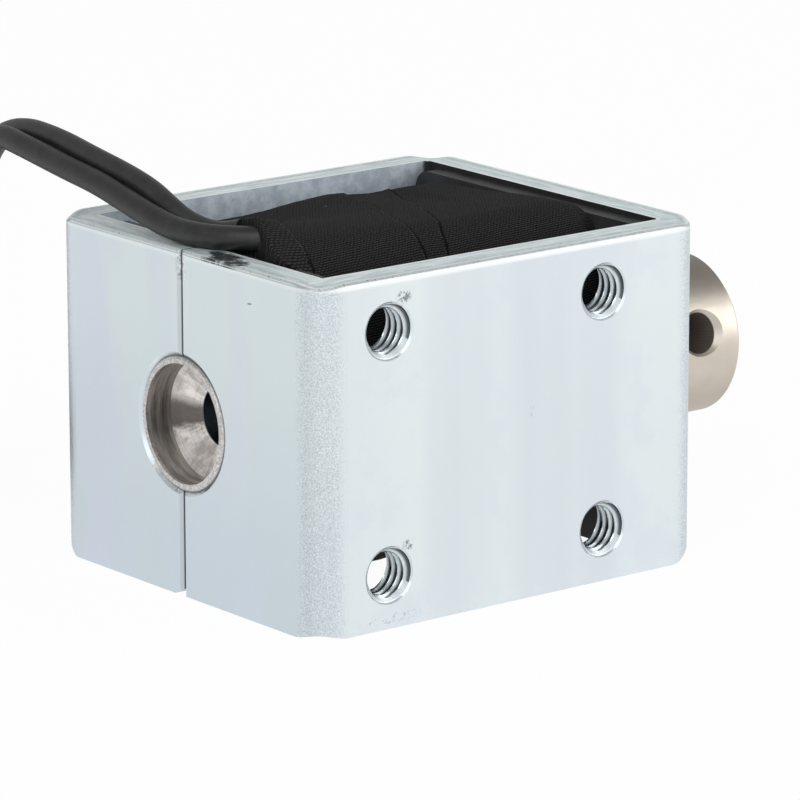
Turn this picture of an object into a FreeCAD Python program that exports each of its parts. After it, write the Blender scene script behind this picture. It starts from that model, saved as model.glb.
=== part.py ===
"""Push pull solenoid with an open box frame, a taped coil, a loose plunger and two flying leads.

The plunger slides along X. The frame stands on its lower rim at z = 0, open at the top and the bottom.
Lengths are in millimetres and angles in degrees.
"""
import FreeCAD
import Part

import math
import os

# Frame: one plated strip folded round, with its ends meeting in a seam on the rear wall
FRAME_LENGTH = 36.4
FRAME_WIDTH = 32.4
FRAME_HEIGHT = 26.0
FRAME_WALL = 2.5
BEND_INNER_RADIUS = 0.35
RIM_CHAMFER = 0.15
SEAM_GAP = 0.12
SEAM_BEVEL_WIDTH = 0.7
SEAM_BEVEL_DEPTH = 0.3
STRIP_END_CHAMFER = 0.5

# Tapped holes in the near side wall, at the thread's full radius
TAPPED_RADIUS = 2.05
TAPPED_SPACING_X = 20.0
TAPPED_SPACING_Z = 18.0
TAPPED_FROM_REAR = 6.5
TAPPED_CHAMFER = 0.12

# Plunger, which lies on the lower side of its loose sleeve
PLUNGER_RADIUS = 6.25
PLUNGER_DROP = 0.3
PLUNGER_REACH = 12.7
PLUNGER_END_CHAMFER = 0.4
PLUNGER_STROKE_IN = 7.0
CROSS_HOLE_RADIUS = 1.6
CROSS_HOLE_FROM_END = 4.0
CROSS_HOLE_ROLL = 14.0
CROSS_HOLE_CHAMFER = 0.3

# Guide sleeve and bobbin
SLEEVE_CLEARANCE = 0.35
SLEEVE_WALL = 0.3
BOBBIN_TUBE_WALL = 0.8
FLANGE_THICKNESS = 1.5
FLANGE_SIDE_CLEARANCE = 0.05
FLANGE_RIM_DROP = 0.4
FLANGE_CORNER_RADIUS = 1.5

# Pole piece
POLE_LENGTH = 12.0
POLE_CLEARANCE = 0.1
SPIGOT_RADIUS = 5.0
LIP_FLARE = 0.35
LIP_DROP = 0.05
LIP_WIDTH = 0.35
LIP_GROOVE = 0.25
RECESS_RADIUS = 4.5
RECESS_DEPTH = 2.3
DRILL_ANGLE = 118.0
POLE_BORE_RADIUS = 2.25
CUP_HALF_ANGLE = 30.0
CUP_DEPTH = 3.6
CUP_RIM = 0.4
CONE_CLEARANCE = 0.45
WASHER_THICKNESS = 0.2
WASHER_EDGE_GAP = 0.1

# Push rod
ROD_RADIUS = 1.8
ROD_GRIP = 6.0
ROD_PROUD = 0.5
ROD_END_CHAMFER = 0.3

# Winding and tape, with the two humps of the tape's crown as (y, drop below the upper rim, radius)
COIL_SIDE_GAP = 0.9
COIL_RIM_DROP = 0.4
WINDING_END_GAP = 0.05
FILM_THICKNESS = 0.15
TAPE_THICKNESS = 0.45
TAPE_REAR_GAP = 0.25
TAPE_FRONT_GAP = 0.6
CROWN_NEAR = (-5.5, 3.4, 4.2)
CROWN_FAR = (7.5, 4.0, 4.2)
ANCHOR_THICKNESS = 0.35
ANCHOR_WIDTH = 4.0
ANCHOR_REACH = 14.0
ANCHOR_MIDDLE = (6.6, -4.0)
ANCHOR_ANGLE = 84.0

# Leads: each route starts at its exit from the tape, x from the frame's rear face. Its first points are
# measured up from the upper rim, and the rest from the floor
LEAD_DIAMETER = 1.8
LEAD_SIDES = 8
LEAD_LENGTH = 200.0
SPLICE_RADIUS = 1.1
SPLICE_LENGTH = 6.0
SPLICE_DIRECTIONS = [(0.55, -0.62, -0.56), (0.66, -0.66, -0.30)]
LEADS_OVER_RIM = [
    [(4.45, -4.4, 1.0), (3.4, -2.7, 1.0), (2.4, -0.8, 0.98), (1.9, 1.4, 1.0), (1.8, 4.2, 1.25),
     (1.8, 7.6, 1.8), (1.8, 11.4, 2.5), (1.85, 15.4, 3.2), (1.95, 20.4, 3.9), (2.2, 25.4, 3.4),
     (2.5, 29.2, 0.6)],
    [(4.8, -1.3, 1.0), (4.45, 0.4, 1.0), (4.1, 2.2, 1.25), (3.8, 4.4, 2.0), (3.65, 7.3, 2.85),
     (3.6, 10.9, 3.5), (3.65, 15.2, 4.1), (3.8, 20.4, 4.7), (4.0, 25.8, 4.4), (4.3, 30.2, 2.2)],
]
LEADS_TO_FLOOR = [
    [(2.8, 31.4, 22.0), (3.1, 32.6, 17.0), (3.5, 33.6, 12.0), (4.4, 34.8, 7.2), (6.2, 36.5, 3.3),
     (8.7, 39.1, 1.15), (10.6, 42.2, 0.91), (11.0, 45.6, 0.9)],
    [(4.7, 33.2, 23.8), (5.1, 34.8, 18.6), (5.6, 36.0, 13.4), (6.6, 37.2, 8.8), (8.6, 38.8, 5.4),
     (10.4, 41.6, 3.4), (10.8, 45.0, 2.75)],
]
COIL_CENTRE = (-0.5, 45.6)
COIL_OUTER_TURN = 11.0
COIL_INNER_TURN = 7.0
TIP_RADIUS = 0.5
TIP_LENGTH = 5.0
TIE_WIDTH = 2.5
TIE_THICKNESS = 0.3
TIE_ANGLE = 200.0

X_AXIS = FreeCAD.Vector(1, 0, 0)
Y_AXIS = FreeCAD.Vector(0, 1, 0)
Z_AXIS = FreeCAD.Vector(0, 0, 1)

rear_x = -(FRAME_LENGTH + PLUNGER_REACH) / 2
front_x = rear_x + FRAME_LENGTH
inner_rear_x = rear_x + FRAME_WALL
inner_front_x = front_x - FRAME_WALL
axis_z = FRAME_HEIGHT / 2
plunger_z = axis_z - PLUNGER_DROP
half_width = FRAME_WIDTH / 2
inner_half_width = half_width - FRAME_WALL
lead_radius = LEAD_DIAMETER / 2
LEAD_COUNT = len(LEADS_OVER_RIM)

sleeve_bore = PLUNGER_RADIUS + SLEEVE_CLEARANCE
sleeve_radius = sleeve_bore + SLEEVE_WALL
bobbin_radius = sleeve_radius + BOBBIN_TUBE_WALL
coil_start_x = inner_rear_x + FLANGE_THICKNESS
coil_end_x = inner_front_x - FLANGE_THICKNESS
tape_radius = min(inner_half_width - COIL_SIDE_GAP, axis_z - COIL_RIM_DROP)
film_radius = tape_radius - TAPE_THICKNESS
winding_radius = film_radius - FILM_THICKNESS

pole_radius = sleeve_bore - POLE_CLEARANCE
pole_end_x = inner_rear_x + POLE_LENGTH
cup_floor_x = pole_end_x - CUP_DEPTH
cone_slope = math.tan(math.radians(CUP_HALF_ANGLE))
cup_mouth_radius = pole_radius - CUP_RIM
cup_floor_radius = cup_mouth_radius - CUP_DEPTH * cone_slope

plunger_end_x = front_x + PLUNGER_REACH
nose_seated_x = cup_floor_x + WASHER_THICKNESS
nose_x = nose_seated_x + PLUNGER_STROKE_IN
nose_radius = cup_floor_radius + WASHER_THICKNESS * cone_slope - CONE_CLEARANCE
nose_length = (PLUNGER_RADIUS - nose_radius) / cone_slope
rod_tip_x = rear_x - ROD_PROUD + PLUNGER_STROKE_IN


def vec(x, y, z):
    return FreeCAD.Vector(x, y, z)


def cylinder(radius, start, direction, length):
    return Part.makeCylinder(radius, length, start, direction)


def along_x(radius, x0, x1):
    """A cylinder on the coil's axis."""
    return cylinder(radius, vec(x0, 0, axis_z), X_AXIS, x1 - x0)


def revolve_x(outline, height):
    """A solid of revolution about an axis along X at a height, from (x, radius) corners."""
    points = [vec(x, 0, height + radius) for x, radius in outline]
    face = Part.Face(Part.makePolygon(points + [points[0]]))
    return face.revolve(vec(0, 0, height), X_AXIS, 360)


def box(x0, x1, y0, y1, z0, z1):
    return Part.makeBox(x1 - x0, y1 - y0, z1 - z0, vec(x0, y0, z0))


def upright_box(x0, x1, half_y, z0, z1, radius):
    """A block with its four upright edges rounded."""
    block = box(x0, x1, -half_y, half_y, z0, z1)
    upright = [edge for edge in block.Edges if abs(edge.tangentAt(edge.FirstParameter).z) > 0.99]
    return block.makeFillet(radius, upright)


def prism(points, direction):
    return Part.Face(Part.makePolygon(points + [points[0]])).extrude(direction)


def make_frame():
    outer = upright_box(rear_x, front_x, half_width, 0, FRAME_HEIGHT, BEND_INNER_RADIUS + FRAME_WALL)
    inner = upright_box(inner_rear_x, inner_front_x, inner_half_width, 0, FRAME_HEIGHT, BEND_INNER_RADIUS)
    rims = [edge for edge in outer.Edges if edge.BoundBox.ZMin > axis_z]
    shell = outer.makeChamfer(RIM_CHAMFER, rims).cut(inner)
    cuts = [along_x(SPIGOT_RADIUS, rear_x - 1, inner_rear_x + 1)]
    cuts.append(along_x(sleeve_radius, inner_front_x - 1, front_x + 1))
    lip = revolve_x([(rear_x - 0.1, 0), (rear_x - 0.1, SPIGOT_RADIUS + LIP_FLARE + 0.1),
                     (rear_x + LIP_FLARE, SPIGOT_RADIUS), (rear_x + LIP_FLARE, 0)], axis_z)
    cuts.append(lip)
    cuts += seam_cuts()
    for x, z in tapped_places():
        start = vec(x, -half_width, z)
        cuts.append(cylinder(TAPPED_RADIUS, start, Y_AXIS, FRAME_WALL + 1))
        cuts.append(Part.makeCone(TAPPED_RADIUS + TAPPED_CHAMFER, TAPPED_RADIUS, TAPPED_CHAMFER, start, Y_AXIS))
    for tool in cuts:
        shell = shell.cut(tool)
    return shell


def seam_cuts():
    """The gap between the strip's two ends, its bevelled outer edges and the ends' bottom corners."""
    gap = box(rear_x - 1, inner_rear_x + 1, -SEAM_GAP / 2, SEAM_GAP / 2, -1, FRAME_HEIGHT + 1)
    bevel = prism([vec(rear_x, -SEAM_BEVEL_WIDTH / 2, -1), vec(rear_x, SEAM_BEVEL_WIDTH / 2, -1),
                   vec(rear_x + SEAM_BEVEL_DEPTH, 0, -1)], vec(0, 0, FRAME_HEIGHT + 2))
    corner = prism([vec(rear_x - 1, -SEAM_GAP / 2, 0), vec(rear_x - 1, STRIP_END_CHAMFER * 2, 0),
                    vec(rear_x - 1, SEAM_GAP / 2, STRIP_END_CHAMFER),
                    vec(rear_x - 1, -SEAM_GAP / 2, STRIP_END_CHAMFER)], vec(FRAME_WALL + 2, 0, 0))
    return [gap, bevel, corner]


def tapped_places():
    first_x = rear_x + TAPPED_FROM_REAR
    return [(first_x + i * TAPPED_SPACING_X, axis_z + (k - 0.5) * TAPPED_SPACING_Z)
            for i in range(2) for k in range(2)]


def make_pole_piece():
    """The fixed core: a spigot staked into the rear wall, a shoulder on it and a cupped inner end."""
    drill_length = (RECESS_RADIUS - POLE_BORE_RADIUS) / math.tan(math.radians(DRILL_ANGLE / 2))
    face_x = rear_x + LIP_DROP
    return revolve_x([
        (face_x, RECESS_RADIUS),
        (face_x, RECESS_RADIUS + LIP_WIDTH),
        (rear_x + LIP_GROOVE, SPIGOT_RADIUS + LIP_FLARE - LIP_GROOVE),
        (rear_x + LIP_FLARE, SPIGOT_RADIUS),
        (inner_rear_x, SPIGOT_RADIUS),
        (inner_rear_x, pole_radius),
        (pole_end_x, pole_radius),
        (pole_end_x, cup_mouth_radius),
        (cup_floor_x, cup_floor_radius),
        (cup_floor_x, POLE_BORE_RADIUS),
        (rear_x + RECESS_DEPTH + drill_length, POLE_BORE_RADIUS),
        (rear_x + RECESS_DEPTH, RECESS_RADIUS),
    ], axis_z)


def make_plunger():
    """The moving core: a coned nose, a pressed bore for the rod and a cross hole near the outer end."""
    bore_end_x = nose_x + ROD_GRIP
    body = revolve_x([
        (nose_x, ROD_RADIUS),
        (nose_x, nose_radius),
        (nose_x + nose_length, PLUNGER_RADIUS),
        (plunger_end_x - PLUNGER_END_CHAMFER, PLUNGER_RADIUS),
        (plunger_end_x, PLUNGER_RADIUS - PLUNGER_END_CHAMFER),
        (plunger_end_x, 0),
        (bore_end_x, 0),
        (bore_end_x, ROD_RADIUS),
    ], plunger_z)
    roll = math.radians(CROSS_HOLE_ROLL)
    direction = vec(0, math.cos(roll), -math.sin(roll))
    centre = vec(plunger_end_x - CROSS_HOLE_FROM_END, 0, plunger_z)
    reach = PLUNGER_RADIUS + 1
    body = body.cut(cylinder(CROSS_HOLE_RADIUS, centre - direction * reach, direction, 2 * reach))
    for side in (-1, 1):
        depth = PLUNGER_RADIUS - CROSS_HOLE_CHAMFER - CROSS_HOLE_RADIUS ** 2 / (2 * PLUNGER_RADIUS)
        wide = CROSS_HOLE_RADIUS + PLUNGER_RADIUS - depth
        cone = Part.makeCone(CROSS_HOLE_RADIUS, wide, PLUNGER_RADIUS - depth,
                             centre + direction * side * depth, direction * side)
        body = body.cut(cone)
    return body


def make_push_rod():
    return revolve_x([
        (rod_tip_x, 0),
        (rod_tip_x, ROD_RADIUS - ROD_END_CHAMFER),
        (rod_tip_x + ROD_END_CHAMFER, ROD_RADIUS),
        (nose_x + ROD_GRIP, ROD_RADIUS),
        (nose_x + ROD_GRIP, 0),
    ], plunger_z)


def tube_x(outer, inner, x0, x1):
    return along_x(outer, x0, x1).cut(along_x(inner, x0 - 1, x1 + 1))


def make_residual_washer():
    washer_radius = cup_floor_radius - WASHER_EDGE_GAP
    return tube_x(washer_radius, POLE_BORE_RADIUS, cup_floor_x, cup_floor_x + WASHER_THICKNESS)


def make_guide_sleeve():
    return tube_x(sleeve_radius, sleeve_bore, inner_rear_x, front_x)


def make_bobbin():
    """A thin tube with a near-square flange at each end, a little lower than the frame's rims."""
    body = along_x(bobbin_radius, inner_rear_x, inner_front_x)
    half_y = inner_half_width - BEND_INNER_RADIUS - FLANGE_SIDE_CLEARANCE
    for x0 in (inner_rear_x, inner_front_x - FLANGE_THICKNESS):
        flange = box(x0, x0 + FLANGE_THICKNESS, -half_y, half_y, FLANGE_RIM_DROP, FRAME_HEIGHT - FLANGE_RIM_DROP)
        corners = [edge for edge in flange.Edges if abs(edge.tangentAt(edge.FirstParameter).x) > 0.99]
        body = body.fuse(flange.makeFillet(FLANGE_CORNER_RADIUS, corners))
    body = body.removeSplitter()
    return body.cut(along_x(sleeve_radius, inner_rear_x - 1, inner_front_x + 1))


def belt_outline(x, growth):
    """The taped coil's outline at x: tangents and arcs round the coil and the two humps of its crown."""
    humps = [(y, FRAME_HEIGHT - drop, radius) for y, drop, radius in (CROWN_FAR, CROWN_NEAR)]
    rounds = [(y, z, radius + growth) for y, z, radius in [(0.0, axis_z, tape_radius)] + humps]
    tangents = []
    for (y0, z0, r0), (y1, z1, r1) in zip(rounds, rounds[1:] + rounds[:1]):
        gap = math.hypot(y1 - y0, z1 - z0)
        normal = math.atan2(z1 - z0, y1 - y0) - math.acos((r0 - r1) / gap)
        ends = [vec(x, y + r * math.cos(normal), z + r * math.sin(normal))
                for y, z, r in ((y0, z0, r0), (y1, z1, r1))]
        tangents.append((normal, ends))
    edges = []
    for i, (y, z, radius) in enumerate(rounds):
        arrive_normal, arrive = tangents[i - 1]
        leave_normal, leave = tangents[i]
        sweep = (leave_normal - arrive_normal) % (2 * math.pi)
        middle = arrive_normal + sweep / 2
        top = vec(x, y + radius * math.cos(middle), z + radius * math.sin(middle))
        edges.append(Part.Arc(arrive[1], top, leave[0]).toShape())
        edges.append(Part.LineSegment(leave[0], leave[1]).toShape())
    return Part.Wire(edges)


def belt(x0, x1, growth):
    return Part.Face(belt_outline(x0, growth)).extrude(vec(x1 - x0, 0, 0))


tape_rear_x = coil_start_x + TAPE_REAR_GAP
tape_front_x = coil_end_x - TAPE_FRONT_GAP


def lead_route(index):
    over_rim = [vec(rear_x + x, y, FRAME_HEIGHT + z) for x, y, z in LEADS_OVER_RIM[index]]
    return over_rim + [vec(rear_x + x, y, z) for x, y, z in LEADS_TO_FLOOR[index]]


def splice_direction(index):
    direction = vec(*SPLICE_DIRECTIONS[index])
    return direction.normalize()


def make_splice(index, growth=0.0):
    """The sleeve over the joint between a lead and the winding's end, under the tape."""
    return cylinder(SPLICE_RADIUS + growth, lead_route(index)[0], splice_direction(index), SPLICE_LENGTH)


def make_tape_wrap(buried):
    """The tape's turns round the film, pressed round the leads and joints that they bury."""
    wrap = belt(tape_rear_x, tape_front_x, 0).cut(along_x(film_radius, tape_rear_x - 1, tape_front_x + 1))
    for piece in buried:
        wrap = wrap.cut(piece)
    return max(wrap.Solids, key=lambda solid: solid.Volume)


def make_lead_anchor_tape(buried):
    """The tape's last turn, which crosses the crown and holds the leads down where they come out."""
    middle = vec(rear_x + ANCHOR_MIDDLE[0], ANCHOR_MIDDLE[1], axis_z)
    turn = math.radians(ANCHOR_ANGLE)
    length_way = vec(math.cos(turn), math.sin(turn), 0)
    width_way = vec(math.sin(turn), -math.cos(turn), 0)
    corners = [middle + length_way * (a * ANCHOR_REACH) + width_way * (b * ANCHOR_WIDTH)
               for a, b in ((-0.5, -0.5), (0.5, -0.5), (0.5, 0.5), (-0.5, 0.5))]
    window = prism(corners, vec(0, 0, FRAME_HEIGHT))
    skin = belt(tape_rear_x, tape_front_x, ANCHOR_THICKNESS)
    for index in range(LEAD_COUNT):
        skin = skin.fuse(make_splice(index, ANCHOR_THICKNESS))
    skin = skin.common(window).cut(belt(tape_rear_x - 1, tape_front_x + 1, 0))
    for piece in buried:
        skin = skin.cut(piece)
    return max(skin.Solids, key=lambda solid: solid.Volume)


def cord_path(points):
    """Straight runs joined by tangent arcs, each arc as large as its two runs allow."""
    edges = []
    radii = []
    start = points[0]
    for before, corner, after in zip(points, points[1:], points[2:]):
        back = before - corner
        ahead = after - corner
        turn = math.pi - back.getAngle(ahead)
        cut_back = 0.45 * min(back.Length, ahead.Length)
        radii.append(cut_back / math.tan(turn / 2))
        back.normalize()
        ahead.normalize()
        arc_start = corner + back * cut_back
        arc_end = corner + ahead * cut_back
        half = back + ahead
        half.normalize()
        inset = radii[-1] / math.cos(turn / 2) - radii[-1]
        edges.append(Part.LineSegment(start, arc_start).toShape())
        edges.append(Part.Arc(arc_start, corner + half * inset, arc_end).toShape())
        start = arc_end
    edges.append(Part.LineSegment(start, points[-1]).toShape())
    return Part.Wire(edges), radii


def lead_section(centre, direction):
    """A plain many-sided section as large as the lead's round one."""
    corner_radius = lead_radius * math.sqrt(math.pi / (LEAD_SIDES / 2 * math.sin(2 * math.pi / LEAD_SIDES)))
    turn = FreeCAD.Rotation(Z_AXIS, direction)
    corners = []
    for k in range(LEAD_SIDES):
        angle = 2 * math.pi * k / LEAD_SIDES
        corners.append(centre + turn.multVec(vec(math.cos(angle), math.sin(angle), 0)) * corner_radius)
    return Part.makePolygon(corners + [corners[0]])


def make_lead(index):
    points = lead_route(index)
    path, radii = cord_path(points)
    section = lead_section(points[0], points[1] - points[0])
    tube = path.makePipeShell([section], True, False)
    expected = Part.Face(section).Area * path.Length
    print("lead %d: length %.1f, volume over section x length %.4f, radii %s"
          % (index + 1, path.Length, tube.Volume / expected, [round(r, 1) for r in radii]))
    for layer in range(LEAD_COUNT):
        tube = tube.cut(coil_ring(layer))
    return max(tube.Solids, key=lambda solid: solid.Volume), path.Length


def coil_ring(layer):
    """The outer shape of one lead's turns, which lie flat with the first lead's turns on the floor."""
    centre = vec(rear_x + COIL_CENTRE[0], COIL_CENTRE[1], layer * LEAD_DIAMETER)
    ring = cylinder(COIL_OUTER_TURN + lead_radius, centre, Z_AXIS, LEAD_DIAMETER)
    return ring.cut(cylinder(COIL_INNER_TURN - lead_radius, centre, Z_AXIS, LEAD_DIAMETER))


def coil_arrival():
    """The angle round the coil at which the leads join it."""
    x, y, _ = LEADS_TO_FLOOR[0][-1]
    return math.atan2(y - COIL_CENTRE[1], x - COIL_CENTRE[0])


def make_tip(index, coiled_length):
    """The stripped and tinned end, which points into the middle of the coil."""
    turn = coil_arrival() + coiled_length / ((COIL_OUTER_TURN + COIL_INNER_TURN) / 2)
    outward = vec(math.cos(turn), math.sin(turn), 0)
    tangent = vec(-math.sin(turn), math.cos(turn), 0)
    centre = vec(rear_x + COIL_CENTRE[0], COIL_CENTRE[1], (index + 0.5) * LEAD_DIAMETER)
    start = centre + outward * (COIL_INNER_TURN - lead_radius)
    direction = tangent - outward
    direction.normalize()
    tip = cylinder(TIP_RADIUS, start - direction * TIP_RADIUS, direction, TIP_LENGTH + TIP_RADIUS)
    return tip.cut(coil_ring(index))


def make_coil_tie():
    """A paper tie round both leads' turns."""
    top = LEAD_COUNT * LEAD_DIAMETER
    inner = COIL_INNER_TURN - lead_radius
    outer = COIL_OUTER_TURN + lead_radius
    band = box(inner - TIE_THICKNESS, outer + TIE_THICKNESS, -TIE_WIDTH / 2, TIE_WIDTH / 2,
               0, top + TIE_THICKNESS)
    band = band.cut(box(inner, outer, -TIE_WIDTH, TIE_WIDTH, TIE_THICKNESS, top))
    band.rotate(vec(0, 0, 0), Z_AXIS, TIE_ANGLE)
    band.translate(vec(rear_x + COIL_CENTRE[0], COIL_CENTRE[1], 0))
    return band


def build():
    parts = {
        "frame": make_frame(),
        "pole_piece": make_pole_piece(),
        "residual_washer": make_residual_washer(),
        "guide_sleeve": make_guide_sleeve(),
        "bobbin": make_bobbin(),
        "plunger": make_plunger(),
        "push_rod": make_push_rod(),
    }
    winding_x = (coil_start_x + WINDING_END_GAP, coil_end_x - WINDING_END_GAP)
    parts["winding"] = tube_x(winding_radius, bobbin_radius, *winding_x)
    parts["winding_film"] = tube_x(film_radius, winding_radius, *winding_x)
    tie = make_coil_tie()
    leads = [make_lead(index) for index in range(LEAD_COUNT)]
    buried = [lead for lead, _ in leads]
    for index, (lead, free_length) in enumerate(leads):
        number = index + 1
        splice = make_splice(index)
        for other, _ in leads:
            splice = splice.cut(other)
        buried.append(splice)
        coiled_length = LEAD_LENGTH - free_length - TIP_LENGTH
        print("lead %d: %.1f mm in the coil" % (number, coiled_length))
        parts["lead_splice_%d" % number] = splice
        parts["lead_wire_%d" % number] = lead
        parts["lead_coil_%d" % number] = coil_ring(index).cut(tie)
        parts["lead_tip_%d" % number] = make_tip(index, coiled_length)
    parts["tape_wrap"] = make_tape_wrap(buried)
    parts["lead_anchor_tape"] = make_lead_anchor_tape(buried)
    parts["coil_tie"] = tie
    return parts


os.makedirs("parts", exist_ok=True)
for name, shape in build().items():
    solid = shape.Solids[0] if len(shape.Solids) == 1 else shape
    print("%-18s solids %d valid %s volume %.2f" % (name, len(shape.Solids), shape.isValid(), shape.Volume))
    solid.exportStep("parts/" + name + ".step")
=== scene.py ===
"""Push pull solenoid: finishes, screw threads, taped coil, leads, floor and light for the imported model.

Lengths in this file are in millimetres, in the model's own frame. MM turns them into metres.
"""
import math

import bmesh
import bpy
import numpy as np
from mathutils import Matrix, Vector


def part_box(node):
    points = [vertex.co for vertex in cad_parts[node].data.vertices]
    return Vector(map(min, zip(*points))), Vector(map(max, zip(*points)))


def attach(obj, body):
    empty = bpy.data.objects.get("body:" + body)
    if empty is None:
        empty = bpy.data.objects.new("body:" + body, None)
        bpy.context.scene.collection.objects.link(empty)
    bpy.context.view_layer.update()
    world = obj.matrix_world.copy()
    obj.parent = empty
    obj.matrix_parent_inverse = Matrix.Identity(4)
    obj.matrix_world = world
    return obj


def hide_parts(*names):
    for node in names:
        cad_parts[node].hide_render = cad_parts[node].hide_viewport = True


MM = 0.001

# Camera: its place from the middle of the frame's rear face, its turn and its lens
CAMERA_PLACE = (-234.565, -322.366, 115.323)
CAMERA_AZIMUTH = -38.3305
CAMERA_ELEVATION = 14.1632
CAMERA_ROLL = -0.1063
CAMERA_LENS = 254.0
CAMERA_SENSOR = 36.0

# Leads: the same routes as in the part's source, x from the frame's rear face
LEAD_DIAMETER = 1.8
LEAD_LENGTH = 200.0
LEADS_OVER_RIM = [
    [(4.45, -4.4, 1.0), (3.23, -3.18, 0.98), (2.18, -1.56, 0.92), (1.47, 0.45, 0.94), (1.19, 2.63, 1.05),
     (1.12, 5.1, 1.51), (1.3, 8.31, 2.05), (1.47, 12.06, 2.76), (1.51, 16.27, 3.24), (1.47, 20.96, 3.95),
     (1.8, 25.69, 4.4), (2.4, 29.44, 2.6)],
    [(4.8, -1.3, 1.0), (4.33, -0.04, 0.61), (3.95, 1.19, 0.55), (3.58, 2.6, 0.73), (3.13, 3.88, 1.2),
     (2.94, 5.4, 1.94), (3.17, 7.82, 2.7), (3.24, 11.3, 3.37), (3.18, 15.44, 3.98), (3.42, 20.15, 4.6),
     (3.84, 25.6, 4.6), (4.32, 30.01, 2.83)],
]
LEADS_TO_FLOOR = [
    [(2.8, 31.4, 22.0), (3.1, 32.6, 17.0), (3.5, 33.6, 12.0), (4.4, 34.8, 7.2), (6.2, 36.5, 3.3),
     (8.7, 39.1, 1.15), (10.6, 42.2, 0.91), (11.0, 45.6, 0.9)],
    [(4.7, 33.2, 23.8), (5.1, 34.8, 18.6), (5.6, 36.0, 13.4), (6.6, 37.2, 8.8), (8.6, 38.8, 5.4),
     (10.4, 41.6, 3.4), (10.8, 45.0, 2.75)],
]
COIL_CENTRE = (-0.5, 45.6)
COIL_OUTER_TURN = 11.0
COIL_INNER_TURN = 7.0
COIL_POINTS_PER_TURN = 20
TIP_LENGTH = 5.0
STRANDS_AROUND = 6
STRAND_RADIUS = 0.16
STRAND_LAY = 6.0
STRAND_STEPS = 14

# Screw threads in the tapped holes
TAPPED_FROM_REAR = 6.5
TAPPED_SPACING = (20.0, 18.0)
THREAD_PITCH = 0.7
THREAD_CREST_RADIUS = 1.62
THREAD_ROOT_RADIUS = 2.04
THREAD_BACK_RADIUS = 2.12
THREAD_START = 0.13
THREAD_POINTS_AROUND = 64
THREAD_POINTS_PER_PITCH = 16
THREAD_SHARP_ANGLE = 50.0
# Of half a pitch, how much is flat at the crest and how much is flank
CREST_FLAT = 0.1
FLANK = 0.75
COUNTERSINK_SLOPE = 1.5

# Frame: its wall and the outer radius of its bends
FRAME_WALL = 2.5
BEND_RADIUS = 2.85
# Edges of the model from this angle on, in degrees, stay crisp
MODEL_SHARP_ANGLE = 28.0
# How far the rims are drawn in where the strip bends: the top rim, and the bottom rim of each bend
TOP_DRAWN_IN = 0.3
BOTTOM_DRAWN_IN = {
    ("rear", "near"): 0.3,
    ("rear", "far"): 0.95,
    ("front", "near"): 0.8,
    ("front", "far"): 0.8,
}
# How far the painted shadow of lead 1 on the rear rim leans, as run in x over run in y
LEAD_SHADOW_LEAN = 0.24
# A scratch on the rear face as (y, z), and some pits in the near side as (x from the rear, z)
SCRATCH_SPOT = (-8.4, 22.53)
PIT_SPOT = (19.8, 14.3)

# Recess in the pole piece's staked end
RECESS_RADIUS = 4.5
LIP_RADIUS = 5.04
BORE_RADIUS = 2.25

# Plunger: its axis and its cross hole
PLUNGER_Z = 12.7
CROSS_HOLE_RADIUS = 1.6
CROSS_HOLE_FROM_END = 4.0
CROSS_HOLE_ROLL = 14.0

# Taped coil: radius of the round, the two humps of the crown as (y, drop below the rim, radius), its ends
# from the rear, and how far the innermost layer lies within the outline
TAPE_RADIUS = 12.6
CROWN_NEAR = (-5.5, 3.4, 4.2)
CROWN_FAR = (7.5, 4.0, 4.2)
NEAR_SHOULDER_Y = -8.0
TAPE_REAR = 4.4
TAPE_FRONT = 31.6
INNER_LAYER = 0.25
TAPE_COLUMN = 0.11
TAPE_ROW = 0.3
TAPE_PLY = 0.17
ANCHOR_PLY = 0.3
TAPE_HEM = 0.35
TAPE_SHARP_ANGLE = 75.0
# The y of whatever isn't on the crown: a place beyond all that the crown pulls about
OFF_CROWN_Y = 20.0
# The rear edge: how far it is drawn up at the crown's middle, tucked in by the near shoulder, and further
# back on all of the near side
REAR_DRAWN_UP = 1.2
REAR_TUCK = 1.15
REAR_NEAR_SIDE = 0.35
# The rounding of the tape's two ends as (its reach, its drop), and how much of a full quarter round it is
REAR_ROUNDING = (0.15, 0.08)
FRONT_ROUNDING = (1.6, 0.6)
ROUNDED = 0.98
# Edges of the tape's turns: the run from the near shoulder on towards the floor, and the place from the rear
FIRST_TURN_EDGE = ((-30.0, -9.0, -6.0, -3.0, -1.0, 0.0, 1.0, 2.5, 12.0, 40.0),
                   (10.0, 7.6, 6.6, 5.8, 5.5, 5.4, 5.25, 5.0, 3.0, 9.0))
SECOND_TURN_EDGE = ((-30.0, -17.5, -8.8, -5.7, -2.5, 2.5, 12.0, 40.0),
                    (24.5, 21.8, 18.7, 17.3, 15.9, 15.4, 13.0, 16.0))
THIRD_TURN_EDGE = ((-30.0, -17.5, -7.5, -3.8, -0.5, 2.0, 12.0, 40.0),
                   (29.0, 26.4, 21.7, 19.9, 18.3, 17.6, 16.0, 19.0))
# The turns over each other, outermost first: their edge, their thickness and how uneven the edge is
TAPE_TURNS = [
    (FIRST_TURN_EDGE, ANCHOR_PLY, 0.14),
    (SECOND_TURN_EDGE, TAPE_PLY, 0.10),
    (THIRD_TURN_EDGE, TAPE_PLY, 0.10),
]
# The painted shadow beside an edge and the worn line on it, which is partly a painted highlight, as (place
# past the edge, width), and how strong that line is
EDGE_SHADE = (0.13, 0.13)
EDGE_WEAR_AND_SHEEN = (-0.12, 0.1)
EDGE_WEAR_AND_SHEEN_SHARE = 0.7
# The slant and the scale of the weave where a point has no turn over it, one, two and three
WEAVE_SLANTS = (0.05, -0.03, 0.04, -0.12)
WEAVE_SCALES = (1.0, 1.0, 1.0, 0.8)
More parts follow.
